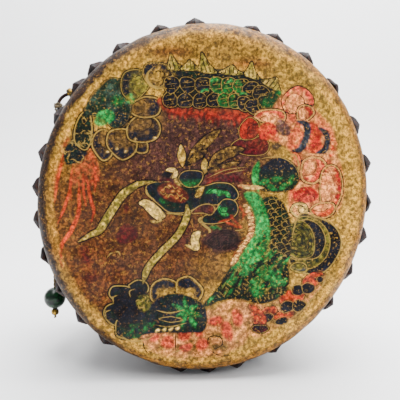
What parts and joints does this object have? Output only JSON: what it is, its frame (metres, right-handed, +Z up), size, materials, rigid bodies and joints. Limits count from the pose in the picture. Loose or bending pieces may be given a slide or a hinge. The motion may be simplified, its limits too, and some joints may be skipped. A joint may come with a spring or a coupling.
{
  "type": "tack drum",
  "caption": "Oval barrel drum with two hide heads held by rows of pyramid tacks, a painted dragon front, an iron ring on an eye pin and a cord with a green bead.",
  "frame": {"origin": "on the floor, under the middle of the drum as it stands on the worn tips of its lowest tacks", "axes": "-Y out of the painted front head, +Z up, +X to the right of a viewer who faces the painted head"},
  "size_m": [0.2517, 0.16, 0.256],
  "materials": {
    "varnished_rawhide": "painted and varnished, crazed and worn",
    "lacquered_wood": "dark worn lacquer",
    "forged_iron": "hammered, dark brown rust patina",
    "old_brass": "tarnished olive",
    "twisted_cord": "two-ply twisted, grubby",
    "green_glass": "polished, dark, nearly opaque"
  },
  "bodies": {
    "root": {"back_head": "varnished_rawhide", "back_tack_01": "forged_iron", "back_tack_02": "forged_iron", "back_tack_03": "forged_iron", "back_tack_04": "forged_iron", "back_tack_05": "forged_iron", "back_tack_06": "forged_iron", "back_tack_07": "forged_iron", "back_tack_08": "forged_iron", "back_tack_09": "forged_iron", "back_tack_10": "forged_iron", "back_tack_11": "forged_iron", "back_tack_12": "forged_iron", "back_tack_13": "forged_iron", "back_tack_14": "forged_iron", "back_tack_15": "forged_iron", "back_tack_16": "forged_iron", "back_tack_17": "forged_iron", "back_tack_18": "forged_iron", "back_tack_19": "forged_iron", "back_tack_20": "forged_iron", "back_tack_21": "forged_iron", "back_tack_22": "forged_iron", "back_tack_23": "forged_iron", "back_tack_24": "forged_iron", "cord": "twisted_cord", "cord_knot": "twisted_cord", "end_bead": "old_brass", "eye_pin": "old_brass", "front_head": "varnished_rawhide", "front_tack_01": "forged_iron", "front_tack_02": "forged_iron", "front_tack_03": "forged_iron", "front_tack_04": "forged_iron", "front_tack_05": "forged_iron", "front_tack_06": "forged_iron", "front_tack_07": "forged_iron", "front_tack_08": "forged_iron", "front_tack_09": "forged_iron", "front_tack_10": "forged_iron", "front_tack_11": "forged_iron", "front_tack_12": "forged_iron", "front_tack_13": "forged_iron", "front_tack_14": "forged_iron", "front_tack_15": "forged_iron", "front_tack_16": "forged_iron", "front_tack_17": "forged_iron", "front_tack_18": "forged_iron", "front_tack_19": "forged_iron", "front_tack_20": "forged_iron", "front_tack_21": "forged_iron", "front_tack_22": "forged_iron", "front_tack_23": "forged_iron", "front_tack_24": "forged_iron", "front_tack_25": "forged_iron", "front_tack_26": "forged_iron", "front_tack_27": "forged_iron", "green_bead": "green_glass", "hanging_ring": "forged_iron", "wooden_shell": "lacquered_wood"}
  },
  "joints": []
}
